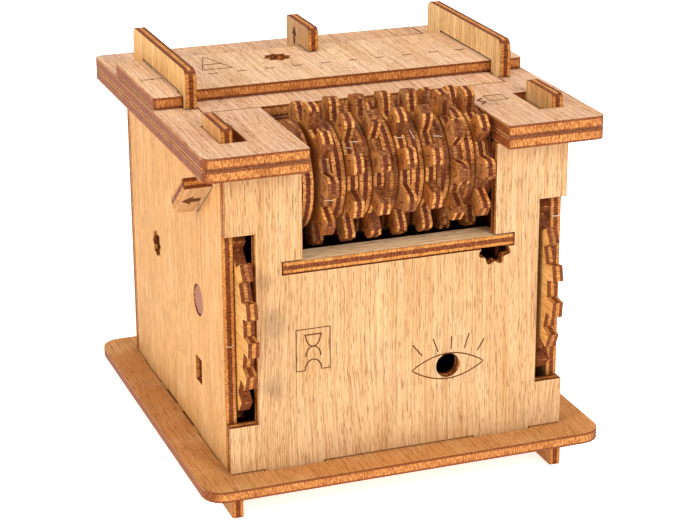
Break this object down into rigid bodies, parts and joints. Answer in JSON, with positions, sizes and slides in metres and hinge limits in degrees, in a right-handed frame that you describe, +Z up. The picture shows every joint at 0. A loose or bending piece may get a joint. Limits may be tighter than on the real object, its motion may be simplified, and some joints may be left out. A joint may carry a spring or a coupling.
{
  "type": "wooden puzzle box",
  "caption": "Laser-cut plywood puzzle box on a base plate, with a drum of toothed code wheels behind a front window, side wheels, sliding latches and a captive lid panel.",
  "frame": {"origin": "centre of the object's bounding box at the underside of the feet", "axes": "+X to the right as seen from the front, -Y towards the front wall with the drum window, +Z up"},
  "size_m": [0.137, 0.137, 0.1356],
  "materials": {
    "plywood": "three-ply birch plywood, laser cut with browned edges, dry satin face",
    "glued_plywood": "plywood edges browned by the laser and glossed by glue",
    "dowel": "turned hardwood dowel with a browned end"
  },
  "bodies": {
    "box": {"back_plate": "plywood", "base_plate": "plywood", "bearing_plate_left": "plywood", "bearing_plate_right": "plywood", "detent_comb": "plywood", "drum_shelf": "plywood", "foot_runner_left": "plywood", "foot_runner_right": "plywood", "front_plate": "plywood", "guide_rail_left": "plywood", "guide_rail_right": "plywood", "latch_rest_left": "plywood", "latch_rest_right": "plywood", "partition": "plywood", "side_plate_left": "plywood", "side_plate_right": "plywood", "top_arm_left": "plywood", "top_arm_right": "plywood", "top_hatch": "plywood", "top_lower": "plywood", "drum_cheek": "glued_plywood", "drum_axle": "dowel"},
    "code_A": {"code_wheel_A": "glued_plywood", "code_ring_A": "glued_plywood"},
    "code_B": {"code_wheel_B": "glued_plywood", "code_ring_B": "glued_plywood"},
    "code_C": {"code_wheel_C": "glued_plywood", "code_ring_C": "glued_plywood"},
    "code_D": {"code_wheel_D": "glued_plywood", "code_ring_D": "glued_plywood"},
    "code_E": {"code_wheel_E": "glued_plywood", "code_ring_E": "glued_plywood"},
    "code_F": {"code_wheel_F": "glued_plywood", "code_ring_F": "glued_plywood"},
    "code_G": {"code_wheel_G": "glued_plywood", "code_ring_G": "glued_plywood"},
    "wheel_left": {"side_wheel_left": "plywood", "wheel_spacer_left": "plywood", "wheel_axle_left": "dowel"},
    "wheel_right": {"side_wheel_right": "plywood", "wheel_spacer_right": "plywood", "wheel_axle_right": "dowel"},
    "lid": {"lid_panel": "plywood"},
    "key": {"arrow_key": "plywood", "key_collar": "plywood"},
    "latch_l": {"latch_left": "plywood"},
    "latch_r": {"latch_right": "plywood"},
    "bolt": {"side_bolt": "plywood"}
  },
  "joints": [
    {"name": "code_A_turn", "type": "hinge", "parent": "box", "child": "code_A", "pos_m": [0, -0.0397, 0.1065], "axis": [1, 0, 0], "continuous": true},
    {"name": "code_B_turn", "type": "hinge", "parent": "box", "child": "code_B", "pos_m": [0, -0.0397, 0.1065], "axis": [1, 0, 0], "continuous": true},
    {"name": "code_C_turn", "type": "hinge", "parent": "box", "child": "code_C", "pos_m": [0, -0.0397, 0.1065], "axis": [1, 0, 0], "continuous": true},
    {"name": "code_D_turn", "type": "hinge", "parent": "box", "child": "code_D", "pos_m": [0, -0.0397, 0.1065], "axis": [1, 0, 0], "continuous": true},
    {"name": "code_E_turn", "type": "hinge", "parent": "box", "child": "code_E", "pos_m": [0, -0.0397, 0.1065], "axis": [1, 0, 0], "continuous": true},
    {"name": "code_F_turn", "type": "hinge", "parent": "box", "child": "code_F", "pos_m": [0, -0.0397, 0.1065], "axis": [1, 0, 0], "continuous": true},
    {"name": "code_G_turn", "type": "hinge", "parent": "box", "child": "code_G", "pos_m": [0, -0.0397, 0.1065], "axis": [1, 0, 0], "continuous": true},
    {"name": "wheel_left_turn", "type": "hinge", "parent": "box", "child": "wheel_left", "pos_m": [-0.0515, -0.0259, 0.0631], "axis": [1, 0, 0], "continuous": true},
    {"name": "wheel_right_turn", "type": "hinge", "parent": "box", "child": "wheel_right", "pos_m": [0.0515, -0.0259, 0.0631], "axis": [1, 0, 0], "continuous": true},
    {"name": "lid_slide", "type": "slide", "parent": "box", "child": "lid", "axis": [-1, 0, 0], "range_m": [0, 0.01]},
    {"name": "key_lift", "type": "slide", "parent": "box", "child": "key", "axis": [0, 0, 1], "range_m": [0, 0.0085]},
    {"name": "latch_left_slide", "type": "slide", "parent": "box", "child": "latch_l", "axis": [1, 0, 0], "range_m": [0, 0.004]},
    {"name": "latch_right_slide", "type": "slide", "parent": "box", "child": "latch_r", "axis": [-1, 0, 0], "range_m": [0, 0.004]},
    {"name": "bolt_slide", "type": "slide", "parent": "box", "child": "bolt", "axis": [-1, 0, 0], "range_m": [0, 0.004]}
  ]
}
